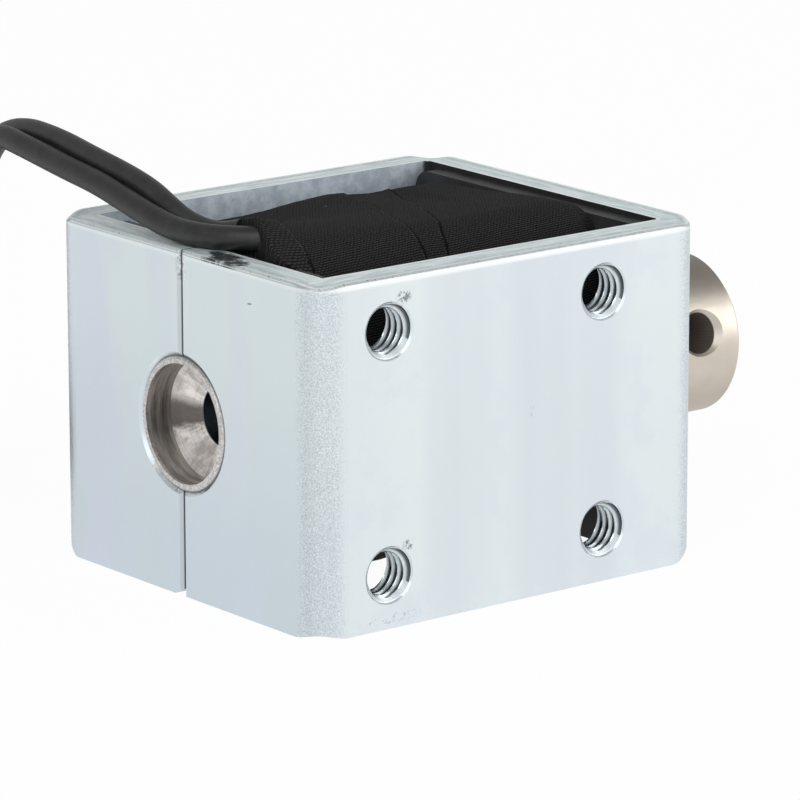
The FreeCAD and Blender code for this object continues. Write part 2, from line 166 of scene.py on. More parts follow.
# How far the far side of the crown lies below its outline, from the rear forwards
FAR_SAG = ((4.0, 12.0, 14.0, 17.0, 20.0, 22.0, 24.0, 25.6, 26.6, 28.0, 32.0),
           (0.75, 0.7, 0.6, 0.32, 0.15, 0.25, 0.42, 0.38, 0.22, 0.2, 0.3))
SPLICE_DIRECTIONS = [(0.55, -0.62, -0.56), (0.66, -0.66, -0.30)]
SPLICE_LENGTH = 6.0
SPLICE_COVER_RADIUS = 1.15
SPLICE_COVER_STARTS = (-0.12, 0.0)
SPLICE_COVER_STEPS = 14
# The rear cap closes down to the bobbin's flange, in front of the film
REAR_CAP_PLACE = 3.98
REAR_CAP_GROWTHS = (-0.38, -1.8)
FRONT_CAP_PLACE = 32.38
FRONT_CAP_FALL = 0.05
DRAPE_REACH = 10.0
DRAPE_SMOOTHINGS = 60

# Table and lamps, in metres and watts: each lamp's name, place, size and power
TABLE_SIZE = 6.0
# How white the table is as it is seen, and as it is mirrored
TABLE_SEEN = 0.96
TABLE_MIRRORED = 0.8
LAMP_TARGET = (0, 0, 0.012)
LAMPS = [
    ("side_box", (0.42, -0.50, 0.26), 0.42, 1.1),
    ("key", (-0.40, -0.36, 0.48), 0.5, 1.6),
]

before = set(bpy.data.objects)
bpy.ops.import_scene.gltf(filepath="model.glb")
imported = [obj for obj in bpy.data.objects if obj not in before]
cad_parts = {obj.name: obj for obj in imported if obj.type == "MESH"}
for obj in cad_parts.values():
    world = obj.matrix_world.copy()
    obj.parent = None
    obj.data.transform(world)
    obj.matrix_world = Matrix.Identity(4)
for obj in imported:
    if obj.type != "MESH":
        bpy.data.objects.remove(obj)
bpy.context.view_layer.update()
frame_low, frame_high = (Vector(corner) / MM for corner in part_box("frame"))
plunger_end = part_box("plunger")[1][0] / MM
rear_x = frame_low.x
front_x = frame_high.x
rim_z = frame_high.z
axis_z = (frame_low.z + frame_high.z) / 2
half_width = frame_high.y
lead_radius = LEAD_DIAMETER / 2


class Value:
    """A shader socket that takes part in plain arithmetic."""

    def __init__(self, nodes, socket):
        self.nodes = nodes
        self.socket = socket

    def math(self, operation, *values):
        return self.nodes.node("ShaderNodeMath", {"operation": operation}, dict(enumerate(values)))

    def __add__(self, other):
        return self.math("ADD", self, other)

    def __sub__(self, other):
        return self.math("SUBTRACT", self, other)

    def __mul__(self, other):
        return self.math("MULTIPLY", self, other)

    def __truediv__(self, other):
        return self.math("DIVIDE", self, other)

    def __pow__(self, other):
        return self.math("POWER", self, other)

    def __neg__(self):
        return self.math("MULTIPLY", self, -1.0)

    def __radd__(self, other):
        return self.math("ADD", other, self)

    def __rsub__(self, other):
        return self.math("SUBTRACT", other, self)

    def __rmul__(self, other):
        return self.math("MULTIPLY", other, self)

    def __rtruediv__(self, other):
        return self.math("DIVIDE", other, self)

    def sine(self):
        return self.math("SINE", self)

    def floor(self):
        return self.math("FLOOR", self)

    def size(self):
        return self.math("ABSOLUTE", self)

    def least(self, other):
        return self.math("MINIMUM", self, other)

    def most(self, other):
        return self.math("MAXIMUM", self, other)

    def step(self, low, high):
        """0 below low, 1 above high and smooth between them."""
        ends = {"Value": self, "From Min": low, "From Max": high}
        return self.nodes.node("ShaderNodeMapRange", {"interpolation_type": "SMOOTHSTEP"}, ends)


class Nodes:
    """A node tree, and the few ways in which this file adds to it."""

    def __init__(self, tree):
        self.tree = tree

    def found(self, kind):
        """The node of a kind that the tree has from the start."""
        return next(node for node in self.tree.nodes if node.type == kind)

    def node(self, kind, settings=None, inputs=None, output=0):
        made = self.tree.nodes.new(kind)
        for name, value in (settings or {}).items():
            setattr(made, name, value)
        for name, value in (inputs or {}).items():
            if isinstance(value, Value):
                self.tree.links.new(value.socket, made.inputs[name])
            else:
                made.inputs[name].default_value = value
        return Value(self, made.outputs[output])

    def place(self, *scale):
        """Where a point is on the object, in millimetres, stretched by scale along each axis."""
        factors = [k / MM for k in scale or (1, 1, 1)]
        here = self.node("ShaderNodeTexCoord", output="Object")
        return self.node("ShaderNodeVectorMath", {"operation": "MULTIPLY"}, {0: here, 1: factors})

    def parts(self, vector):
        made = self.node("ShaderNodeSeparateXYZ", inputs={0: vector})
        return [Value(self, socket) for socket in made.socket.node.outputs]

    def joined(self, x, y, z):
        return self.node("ShaderNodeCombineXYZ", inputs={0: x, 1: y, 2: z})

    def facing(self):
        return self.parts(self.node("ShaderNodeTexCoord", output="Normal"))

    def noise(self, vector, scale, detail=3.0, roughness=0.5):
        inputs = {"Vector": vector, "Scale": scale, "Detail": detail, "Roughness": roughness}
        return self.node("ShaderNodeTexNoise", inputs=inputs)

    def cells(self, vector, scale, output="Distance"):
        return self.node("ShaderNodeTexVoronoi", inputs={"Vector": vector, "Scale": scale}, output=output)

    def mix(self, share, below, above):
        """The colour below, with above laid over it by share."""
        colours = [c if isinstance(c, Value) else (*c, 1.0) for c in (below, above)]
        inputs = {0: share, 6: colours[0], 7: colours[1]}
        return self.node("ShaderNodeMix", {"data_type": "RGBA"}, inputs, 2)

    def bump(self, height, depth):
        return self.node("ShaderNodeBump", inputs={"Height": height, "Distance": depth * MM})


class Paint(Nodes):
    """A material with one shader, whose constants are set on the shader's own sockets."""

    def __init__(self, name, **constants):
        self.material = bpy.data.materials.new(name)
        self.material.use_nodes = True
        super().__init__(self.material.node_tree)
        self.shader = self.found("BSDF_PRINCIPLED")
        for socket, value in constants.items():
            self.shader.inputs[socket.replace("_", " ")].default_value = value

    def set(self, socket, value):
        self.tree.links.new(value.socket, self.shader.inputs[socket])


def near_spot(values, spot, reach):
    """1 at a spot and 0 from its reach on, by the distance in as many directions as are given."""
    square = sum((value - place) * (value - place) / (size * size)
                 for value, place, size in zip(values, spot, reach))
    return 1.0 - square.step(0.1, 1.0)


def strip_section(x, y):
    """Where a point is in the frame's wall: the depth below its outer faces, and 1 in a bend's middle."""
    across = (BEND_RADIUS - (x - rear_x).least(front_x - x)).most(0.0)
    aside = (BEND_RADIUS - (half_width - y.size())).most(0.0)
    radius = (across * across + aside * aside) ** 0.5
    return BEND_RADIUS - radius, 2.0 * across * aside / (radius * radius).most(0.01)


def plated_strip():
    """Zinc plating on a folded strip: satin faces, grainy bends, edges bright with painted highlights, dull
    cut and inner faces, with painted shade in the bends, on the inner walls and in the seam.
    """
    paint = Paint("plated_strip")
    at = paint.place()
    x, y, z = paint.parts(at)
    nx, ny, nz = paint.facing()
    depth, turn = strip_section(x, y)

    # Where on the strip a point is
    cut_edge = nz.size().step(0.8, 0.95)
    corner_line = nz.size().step(0.35, 0.6) * (1.0 - cut_edge)
    inner = depth.step(2.2, 2.4) * (1.0 - cut_edge)
    face = (1.0 - cut_edge) * (1.0 - corner_line) * (1.0 - inner)
    bend = turn.step(0.05, 0.95) * face
    rear = (-nx).step(0.2, 0.9)
    seam = (1.0 - y.size().step(0.08, 0.16)) * (1.0 - (x - rear_x).step(2.6, 2.7)) * (1.0 - cut_edge)

    # Grains of several sizes
    bands = paint.noise(paint.place(1.0, 1.0, 0.04), 0.16, 2.0, 0.5)
    clouds = paint.noise(at, 0.16, 4.0, 0.6)
    grain = paint.noise(at, 4.6, 4.0, 0.65)
    peel = paint.noise(at, 9.0, 2.0, 0.6)
    mottle = paint.noise(at, 0.9, 4.0, 0.65)
    drawn = paint.noise(at, 2.4, 4.0, 0.7)
    sparkle = paint.noise(at, 7.0, 2.0, 0.6)
    crumbs = paint.noise(at, 3.2, 4.0, 0.8)

    # Outer faces, bluer on the rear wall and darker towards its bottom as painted shade, and the speckled
    # bends, with painted shade in their middle and painted sparkle; a painted highlight along their top
    flat = paint.mix(bands.step(0.3, 0.7), (0.68, 0.735, 0.775), (0.75, 0.815, 0.825))
    flat = paint.mix(clouds.step(0.45, 0.7) * 0.6, flat, (0.685, 0.74, 0.805))
    up = (z - frame_low.z) / (rim_z - frame_low.z)
    # Painted shade: the rear wall's tone darkens towards its bottom
    rear_tone_and_shade = paint.mix(up.step(0.0, 0.9), (0.625, 0.705, 0.765), (0.735, 0.825, 0.84))
    patches = paint.noise(paint.place(1.0, 1.0, 0.35), 0.13, 2.0, 0.5)
    rear_tone_and_shade = paint.mix(patches.step(0.45, 0.6) * 0.55, rear_tone_and_shade, (0.675, 0.735, 0.85))
    flat = paint.mix(rear.most(bend * 0.9) * 0.85, flat, rear_tone_and_shade)
    # Painted shade: a darker tone in the middle of each bend
    flat = paint.mix(turn.step(0.3, 1.0) * face * 0.5, flat, (0.62, 0.69, 0.71))
    coarse = (turn + mottle * 0.7 - 0.35).step(0.1, 0.6) * face
    flat = paint.mix(coarse * (1.0 - peel.step(0.36, 0.50)) * 0.45, flat, (0.38, 0.43, 0.45))
    # Painted sparkle: white specks in the bends' grain stand for glints, while the dark specks above are
    # grain
    flat = paint.mix(coarse * peel.step(0.54, 0.64) * 0.45, flat, (0.95, 0.98, 0.98))
    # Painted highlight: the outer faces lighten towards white just under the rim
    painted_top_highlight = (z - rim_z + 0.5).step(-0.2, 0.1) * (1.0 - nz.size().step(0.3, 0.6))
    flat = paint.mix(painted_top_highlight * (0.85 - 0.45 * rear), flat, (0.97, 0.99, 0.99))

    # Inner walls: a mottled tone kept darker than the outer faces as painted shade, and a painted shadow on
    # the front one behind the bobbin's flange
    inside = paint.mix(mottle.step(0.35, 0.65), (0.44, 0.50, 0.575), (0.62, 0.69, 0.76))
    # Painted shadow: near black on the inner faces next to the front wall
    inside = paint.mix((x - front_x + FRAME_WALL + 0.6).step(0.0, 0.4), inside, (0.03, 0.031, 0.033))
    colour = paint.mix(inner, flat, inside)

    # Cut edges: rolled lines along the strip, white specks of painted glint, a painted highlight along both
    # rims, and the painted shadow of lead 1
    on_side = (half_width - FRAME_WALL - 0.3 - y.size()).step(-0.2, 0.2)
    lines = paint.joined(x * (0.25 + 1.85 * on_side), y * (2.1 - 1.85 * on_side), 0.0)
    rolled = paint.noise(lines, 1.0, 4.0, 0.7)
    edge = paint.mix(rolled.step(0.32, 0.66), (0.54, 0.655, 0.675), (0.90, 0.99, 0.99))
    edge = paint.mix(drawn.step(0.3, 0.7) * 0.3, edge, (0.64, 0.75, 0.755))
    # Painted glints: white specks on the cut edges
    edge = paint.mix(sparkle.step(0.60, 0.68) * 0.5, edge, (0.96, 0.99, 0.99))
    # Painted highlight: a bright line along both rims of the cut edge
    edge_line = (1.0 - depth.step(0.2, 0.4)).most(depth.step(2.15, 2.35))
    edge = paint.mix(edge_line * 0.8, edge, (0.95, 0.98, 0.98))
    inset_line = depth.step(0.35, 0.55) * (1.0 - depth.step(0.7, 1.1))
    edge = paint.mix(inset_line * drawn.step(0.25, 0.6) * 0.6, edge, (0.40, 0.48, 0.50))
    # Painted shadow: a near black patch on the rear rim under lead 1
    sheared = x - (y + 4.2) * LEAD_SHADOW_LEAN
    lead_shadow = near_spot((sheared, y), (rear_x + 1.2, -4.4), (1.5, 3.6))
    uneven = (mottle - 0.5) * 1.8 + (drawn - 0.5) * 1.6
    edge = paint.mix((lead_shadow + uneven).step(0.3, 1.0) * lead_shadow.step(0.0, 0.3) * 0.95, edge,
                     (0.012, 0.014, 0.018))
    colour = paint.mix(cut_edge, colour, edge)

    # The broken edge below the rim, lightened as a painted highlight, a thin darker band under the rim on the
    # rear wall, nicks, and the painted shadow of lead 1 where it runs over the edge
    # Painted highlight: the broken edge's face lightened towards white
    colour = paint.mix(corner_line * drawn.step(0.35, 0.6) * 0.8, colour, (0.92, 0.96, 0.97))
    under_rim = (z - rim_z + 0.36).step(0.0, 0.1) * (1.0 - (z - rim_z + 0.24).step(0.0, 0.08)) * rear
    colour = paint.mix(under_rim * (1.0 - inner) * 0.6, colour, (0.30, 0.37, 0.36))
    nicks = corner_line * drawn.step(0.56, 0.66) * (1.0 - (x - rear_x).step(6.0, 18.0))
    colour = paint.mix(nicks * (1.0 - inner) * 0.7, colour, (0.14, 0.17, 0.17))
    # Painted shadow of lead 1, running over the edge below the rim
    lead_shadow_on_edge = corner_line.most(under_rim) * near_spot((x, y), (rear_x, -4.6), (1.5, 2.6)) * (1.0 - inner)
    colour = paint.mix(lead_shadow_on_edge * (0.5 + uneven).step(0.2, 0.7) * 0.9, colour, (0.02, 0.022, 0.026))

    # The seam: painted shade in its gap and on its bevel, and its crumpled top with painted glints and
    # painted shade among the crumples; small marks on the rear and near faces
    # Painted shade: the bevel darkened to dim its highlight
    bevel = (1.0 - y.size().step(0.3, 0.6)) * rear * (1.0 - (-nx).step(0.93, 0.99))
    colour = paint.mix(bevel * (1.0 - inner) * 0.5, colour, (0.42, 0.47, 0.49))
    outer = rear * (1.0 - cut_edge) * (1.0 - inner)
    bruise_and_glints = near_spot((y, z), (-0.1, rim_z - 1.1), (0.8, 1.7)) * outer
    # Painted glints and shade: light and dark specks on the crumpled top
    colour = paint.mix(bruise_and_glints * crumbs.step(0.53, 0.58), colour, (0.98, 0.99, 0.99))
    colour = paint.mix(bruise_and_glints * (1.0 - crumbs.step(0.40, 0.45)) * 0.85, colour, (0.10, 0.11, 0.12))
    # Painted shade: the seam's gap near black
    colour = paint.mix(seam * 0.9, colour, (0.04, 0.045, 0.05))
    scratch = near_spot((y, z + y * 0.12), SCRATCH_SPOT, (0.36, 0.09)) * outer
    hole_x = rear_x + TAPPED_FROM_REAR
    upper_z = axis_z + TAPPED_SPACING[1] / 2
    lower_z = axis_z - TAPPED_SPACING[1] / 2
    burrs = near_spot((x, z), (hole_x + 1.4, upper_z + 2.35), (0.85, 0.6)) * crumbs.step(0.50, 0.55)
    low_burrs = near_spot((x, z), (hole_x + 1.7, lower_z + 2.0), (0.7, 0.5)) * crumbs.step(0.50, 0.56)
    scuffs = near_spot((x, z), (hole_x + 0.4, 0.75), (3.6, 0.5)) * crumbs.step(0.55, 0.62) * 0.6
    pits = near_spot((x - rear_x, z), PIT_SPOT, (0.9, 0.8)) * crumbs.step(0.60, 0.63) * 0.5
    near_marks = burrs.most(low_burrs).most(pits).most(scuffs)
    marks = (near_marks * (-ny).step(0.8, 0.95)).most(scratch)

    paint.set("Base Color", paint.mix(marks * 0.8, colour, (0.14, 0.15, 0.16)))
    paint.set("Metallic", 0.86 - 0.36 * inner - 0.66 * cut_edge - 0.5 * seam)
    paint.set("Roughness", 0.33 + 0.08 * clouds + 0.06 * cut_edge + 0.25 * inner - 0.08 * corner_line)
    height = grain * 0.2 + peel * (0.06 + 1.3 * bend) + drawn * cut_edge * 0.9 + mottle * inner
    height = height + bruise_and_glints * crumbs * 3.0
    paint.set("Normal", paint.bump(height, 0.035))
    return paint.material


def thread_plating():
    """The same plating down in the tapped holes, where it is thin and the cutting marks show, darkened as
    painted shade deeper in, in the grooves and on the mouth's side facing the rear.
    """
    paint = Paint("thread_plating", Metallic=1.0)
    y = paint.parts(paint.place())[1]
    nx = paint.facing()[0]
    deep_shade = (y + half_width).step(0.3, 1.8)
    groove = paint.node("ShaderNodeAttribute", {"attribute_name": "groove"}, output="Fac")
    marks = paint.noise(paint.place(1.0, 5.0, 1.0), 1.2, 3.0, 0.6)
    fresh = paint.mix(marks.step(0.3, 0.7), (0.60, 0.67, 0.70), (0.76, 0.82, 0.84))
    # Painted shade: darker deeper in the hole
    tone = paint.mix(deep_shade * 0.6, fresh, (0.34, 0.39, 0.42))
    mouth = 1.0 - (y + half_width - THREAD_START).step(0.1, 0.3)
    # Painted shade: the mouth's side facing the rear is darker
    cut = paint.mix((-nx).step(0.35, 0.75), (0.62, 0.68, 0.71), (0.27, 0.33, 0.37))
    tone = paint.mix(mouth * (0.6 + 0.4 * marks.step(0.35, 0.6)), tone, cut)
    # Painted shade: the thread's grooves near black
    paint.set("Base Color", paint.mix(groove.step(0.25, 0.75) * 0.9, tone, (0.05, 0.058, 0.064)))
    paint.set("Roughness", 0.17 + 0.08 * marks + 0.22 * mouth)
    paint.set("Normal", paint.bump(marks, 0.006))
    return paint.material


def turned_core():
    """The pole piece: a drilled cone with tool marks and painted reflections in radial sectors, a brown, oily
    wall in the staked recess, and painted shade in the bore and round the lip's edge.
    """
    paint = Paint("turned_core", Metallic=1.0)
    at = paint.place()
    x, y, z = paint.parts(at)
    nx = paint.facing()[0]
    across = (y * y + (z - axis_z) * (z - axis_z)) ** 0.5
    wall = 1.0 - nx.size().step(0.1, 0.3)
    lip = (rear_x + 0.35 - x).step(0.0, 0.1) * across.step(RECESS_RADIUS - 0.2, RECESS_RADIUS - 0.1)
    tool = paint.noise(paint.joined(x * 7.0, across * 7.0, 0.0), 1.0, 4.0, 0.7)
    spread = across.most(0.1)
    upward = (z - axis_z) / spread
    streaks = paint.joined(across * 0.8, 5.0 * y / spread, 5.0 * upward)
    stain_and_sheen = paint.noise(streaks, 1.0, 4.0, 0.65)
    shaded = (upward + stain_and_sheen * 0.5).step(-0.3, 0.0) * (1.0 - (upward + stain_and_sheen * 0.4).step(0.25, 0.55))
    # Painted reflection: light and dark radial sectors across the cone
    cone = paint.mix(stain_and_sheen.step(0.38, 0.62), (0.97, 0.93, 0.90), (0.62, 0.585, 0.555))
    cone = paint.mix(shaded * 0.95, cone, (0.13, 0.115, 0.105))
    turned = paint.noise(paint.joined(x * 2.2, 0.8 * y / spread, 0.8 * upward), 1.0, 4.0, 0.65)
    sides = paint.mix(turned.step(0.36, 0.64), (0.28, 0.265, 0.245), (0.68, 0.65, 0.615))
    colour = paint.mix(wall, cone, sides)
    colour = paint.mix(tool.step(0.45, 0.75) * 0.3, colour, (0.16, 0.145, 0.13))
    # Painted shade: the bore dark blue grey
    colour = paint.mix(1.0 - across.step(BORE_RADIUS + 0.02, BORE_RADIUS + 0.08), colour, (0.10, 0.12, 0.15))
    speckled = paint.noise(at, 5.0, 4.0, 0.75)
    worn_lip_and_gap_shade = paint.mix(speckled.step(0.38, 0.62), (0.46, 0.445, 0.435), (0.76, 0.745, 0.735))
    # Painted shade: a dark ring at the lip's outer edge, where it meets the frame
    worn_lip_and_gap_shade = paint.mix(across.step(LIP_RADIUS - 0.1, LIP_RADIUS) * 0.85, worn_lip_and_gap_shade, (0.09, 0.12, 0.135))
    paint.set("Base Color", paint.mix(lip, colour, worn_lip_and_gap_shade))
    paint.set("Roughness", 0.26 + 0.16 * stain_and_sheen + 0.06 * wall)
    paint.set("Normal", paint.bump(tool, 0.035))
    return paint.material


def plated_plunger():
    """Nickel plating, warm in tone, over fine turning marks, with painted shade along its underside, a
    painted dark reflection along its top, and painted brown shade inside the cross hole.
    """
    paint = Paint("plated_plunger")
    at = paint.place()
    x, y, z = paint.parts(at)
    roll = math.radians(CROSS_HOLE_ROLL)
    off_axis = y * math.sin(roll) + (z - PLUNGER_Z) * math.cos(roll)
    from_hole = x - (plunger_end - CROSS_HOLE_FROM_END)
    hole = 1.0 - (from_hole * from_hole + off_axis * off_axis).step(CROSS_HOLE_RADIUS ** 2 * 0.98,
                                                                   CROSS_HOLE_RADIUS ** 2 * 1.06)
    clouds = paint.noise(at, 0.25, 4.0, 0.6)
    rub = paint.noise(paint.place(0.08, 1.0, 1.0), 1.6, 4.0, 0.65)
    turning = paint.noise(paint.place(6.0, 0.05, 0.05), 1.0, 3.0, 0.7)
    colour = paint.mix(clouds.step(0.35, 0.7), (0.66, 0.605, 0.53), (0.60, 0.545, 0.47))
    colour = paint.mix(rub.step(0.55, 0.8) * 0.25, colour, (0.50, 0.45, 0.385))
    # Painted shade: darker along the underside
    colour = paint.mix((PLUNGER_Z - 1.0 - z).step(0.0, 3.5) * 0.5, colour, (0.43, 0.37, 0.315))
    # Painted reflection: darker along the top, where it mirrors the dim room
    colour = paint.mix((z - PLUNGER_Z).step(2.8, 5.6) * 0.6, colour, (0.24, 0.215, 0.19))
    # Painted shade: dark brown inside the cross hole
    paint.set("Base Color", paint.mix(hole, colour, (0.145, 0.118, 0.098)))
    paint.set("Metallic", 1.0 - 0.75 * hole)
    paint.set("Roughness", 0.37 + 0.08 * rub + 0.05 * turning + 0.2 * hole)
    paint.set("Normal", paint.bump(turning + rub * 0.3, 0.004))
    return paint.material


def ground_rod():
    paint = Paint("ground_rod", Metallic=1.0)
    marks = paint.noise(paint.place(8.0, 0.2, 0.2), 1.0, 3.0, 0.6)
    paint.set("Base Color", paint.mix(marks, (0.52, 0.52, 0.51), (0.63, 0.63, 0.62)))
    paint.set("Roughness", 0.25 + 0.15 * marks)
    return paint.material


def drawn_brass():
    paint = Paint("drawn_brass", Metallic=1.0)
    marks = paint.noise(paint.place(0.2, 4.0, 4.0), 1.0, 3.0, 0.6)
    paint.set("Base Color", paint.mix(marks, (0.70, 0.50, 0.21), (0.83, 0.64, 0.32)))
    paint.set("Roughness", 0.22 + 0.16 * marks)
    paint.set("Normal", paint.bump(marks, 0.01))
    return paint.material


def moulded_nylon():
    """Black moulded nylon with a fine eroded surface."""
    paint = Paint("moulded_nylon", Specular_IOR_Level=0.3)
    at = paint.place()
    grain = paint.noise(at, 7.0, 2.0, 0.6)
    haze = paint.noise(at, 0.4, 3.0, 0.6)
    paint.set("Base Color", paint.mix(haze.step(0.3, 0.7), (0.030, 0.030, 0.032), (0.050, 0.050, 0.052)))
    paint.set("Roughness", 0.42 + 0.16 * haze)
    paint.set("Normal", paint.bump(grain, 0.03))
    return paint.material


def enamelled_copper():
    """Turns of enamelled wire laid side by side."""
    paint = Paint("enamelled_copper", Metallic=1.0)
    x = paint.parts(paint.place())[0]
    turns = (x * (math.pi / 0.32)).sine().size()
    tone = paint.noise(paint.place(2.0, 0.1, 0.1), 1.0, 2.0, 0.5)
    paint.set("Base Color", paint.mix(tone, (0.55, 0.21, 0.08), (0.72, 0.33, 0.14)))
    paint.set("Roughness", 0.22 + 0.1 * tone)
    paint.set("Normal", paint.bump(turns, 0.12))
    return paint.material


def amber_film(name, share):
    """Clear amber film: share is how much light it sends back, little over the dark coil."""
    paint = Paint(name)
    folds = paint.noise(paint.place(), 0.5, 3.0, 0.5)
    thin, thick = (0.62, 0.40, 0.12), (0.46, 0.27, 0.06)
    paint.set("Base Color", paint.mix(folds, [c * share for c in thick], [c * share for c in thin]))
    paint.set("Roughness", 0.35 - 0.2 * share + 0.1 * folds)
    paint.set("Normal", paint.bump(folds, 0.05))
    return paint.material


def cloth_tape():
    """Black woven cloth tape: short floats of thread in rows with painted shade between them, dulled by
    handling, with specks of lint, a painted shadow beside each turn's edge and frayed threads with a painted
    highlight on it.
    """
    paint = Paint("cloth_tape", Specular_IOR_Level=0.08)
    at = paint.place()
    weave = paint.node("ShaderNodeAttribute", {"attribute_name": "weave"}, output="Vector")
    across, along, shade = paint.parts(weave)
    sway = paint.noise(at, 0.9, 3.0, 0.6) - 0.5
    rows = along / 0.19 + sway * 1.1
    shift = rows.floor() * math.pi
    thread = (rows * math.pi).sine().size()
    floats = 0.5 + 0.5 * (across * (2 * math.pi / 0.31) + shift + sway * 9.0).sine()
    worn = paint.noise(at, 0.35, 4.0, 0.6)
    fuzz = paint.noise(at, 8.0, 3.0, 0.7)
    height = thread * (0.35 + 0.65 * floats)
    # Painted shade: the weave darker between its threads and lighter where they rise
    tone = paint.mix(height * (0.3 + 1.4 * fuzz), (0.003, 0.003, 0.003), (0.050, 0.050, 0.049))
    tone = paint.mix(worn.step(0.4, 0.75) * 0.35, tone, (0.020, 0.020, 0.020))
    # Painted shadow beside each turn's edge
    tone = paint.mix(shade.step(0.15, 0.8) * 0.85, tone, (0.001, 0.001, 0.001))
    # Frayed threads with a painted highlight on each turn's edge
    tone = paint.mix((-shade).step(0.15, 0.6) * fuzz.step(0.4, 0.6) * 0.7, tone, (0.075, 0.075, 0.073))
    tint = paint.parts(paint.cells(at, 0.42, "Color"))
    near = paint.cells(at, 0.42)
    lint = (1.0 - near.step(0.03, 0.06)) * tint[0].step(0.55, 0.57)
    paint.set("Base Color", paint.mix(lint * 0.7, tone, (0.36, 0.36, 0.34)))
    paint.set("Roughness", 0.72 + 0.2 * fuzz)
    paint.set("Normal", paint.bump(height + fuzz * 0.5, 0.09))
    return paint.material


def lead_insulation():
    """Soft black insulation with a satin skin."""
    paint = Paint("lead_insulation", Specular_IOR_Level=0.5)
    at = paint.place()
    haze = paint.noise(at, 0.7, 3.0, 0.6)
    grain = paint.noise(at, 6.0, 2.0, 0.6)
    paint.set("Base Color", paint.mix(haze.step(0.3, 0.75), (0.014, 0.0142, 0.0142), (0.028, 0.0285, 0.0285)))
    paint.set("Roughness", 0.38 + 0.16 * haze)
    paint.set("Normal", paint.bump(grain + haze, 0.02))
    return paint.material


def tinned_wire():
    paint = Paint("tinned_wire", Metallic=1.0)
    flow = paint.noise(paint.place(), 2.0, 3.0, 0.6)
    paint.set("Base Color", paint.mix(flow, (0.58, 0.58, 0.57), (0.76, 0.76, 0.75)))
    paint.set("Roughness", 0.22 + 0.2 * flow)
    paint.set("Normal", paint.bump(flow, 0.03))
    return paint.material


def paper_tie():
    paint = Paint("paper_tie")
    fibre = paint.noise(paint.place(1.0, 1.0, 3.0), 2.0, 4.0, 0.7)
    paint.set("Base Color", paint.mix(fibre, (0.66, 0.64, 0.58), (0.80, 0.78, 0.73)))
    paint.set("Roughness", 0.7 + 0.2 * fibre)
    paint.set("Normal", paint.bump(fibre, 0.05))
    return paint.material


def shade(mesh, sharp_angle):
    """Smooth across a mesh's curves, and crisp at its edges from an angle in degrees on."""
    mesh.shade_smooth()
    mesh.set_sharp_from_angle(angle=math.radians(sharp_angle))


def new_object(name, data):
    obj = bpy.data.objects.new(name, data)
    bpy.context.scene.collection.objects.link(obj)
    return obj


def dress(node, material):
    """Gives a node of the model its finish."""
    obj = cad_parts[node]
    shade(obj.data, MODEL_SHARP_ANGLE)
    for slot in obj.material_slots:
        slot.material = material


def make_strip(material):
    """The folded strip, whose rims are drawn in at its bends, more at the bottom than at the top."""
    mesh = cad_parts["frame"].data.copy()
    mesh.name = "folded_strip"
    work = bmesh.new()
    work.from_mesh(mesh)
    cuts = [((x, 0, 0), (1, 0, 0)) for x in (rear_x + BEND_RADIUS, front_x - BEND_RADIUS)]
    cuts += [((0, y, 0), (0, 1, 0)) for y in (BEND_RADIUS - half_width, half_width - BEND_RADIUS)]
    for place, normal in cuts:
        whole = work.verts[:] + work.edges[:] + work.faces[:]
        bmesh.ops.bisect_plane(work, geom=whole, dist=1e-6, plane_co=Vector(place) * MM, plane_no=normal)
    for vertex in work.verts:
        x, y, z = vertex.co / MM
        across = max(BEND_RADIUS - min(x - rear_x, front_x - x), 0.0)
        aside = max(BEND_RADIUS - half_width + abs(y), 0.0)
        radius = max(math.hypot(across, aside), 0.01)
        share = (2.0 * across * aside / radius ** 2) ** 2 * radius / BEND_RADIUS
        bend = ("rear" if x < 0 else "front", "near" if y < 0 else "far")
        vertex.co.z += share * (BOTTOM_DRAWN_IN[bend] if z < axis_z else -TOP_DRAWN_IN) * MM
    work.to_mesh(mesh)
    work.free()
    shade(mesh, MODEL_SHARP_ANGLE)
    mesh.materials.clear()
    mesh.materials.append(material)
    obj = new_object("folded_strip", mesh)
    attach(obj, "housing")
    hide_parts("frame")


def add_mesh(name, points, faces, material, sharp_angle):
    """A new piece from points in millimetres, which rides on the housing."""
    mesh = bpy.data.meshes.new(name)
    mesh.from_pydata([tuple(c * MM for c in point) for point in points], [], faces)
    shade(mesh, sharp_angle)
    mesh.materials.append(material)
    obj = new_object(name, mesh)
    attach(obj, "housing")
    return obj


def grid_faces(rows, columns):
    """Quads over a grid of points whose last row joins its first."""
    starts = [(r * columns, (r + 1) % rows * columns) for r in range(rows)]
    return [(here + c, here + c + 1, there + c + 1, there + c)
            for here, there in starts for c in range(columns - 1)]


def thread_profile(turns):
    """The radius of a screw thread at a number of turns: sloped flanks with narrow flats."""
    share = abs((turns % 1.0) - 0.5) * 2
    rise = min(max((share - CREST_FLAT) / FLANK, 0.0), 1.0)
    return THREAD_CREST_RADIUS + (THREAD_ROOT_RADIUS - THREAD_CREST_RADIUS) * rise


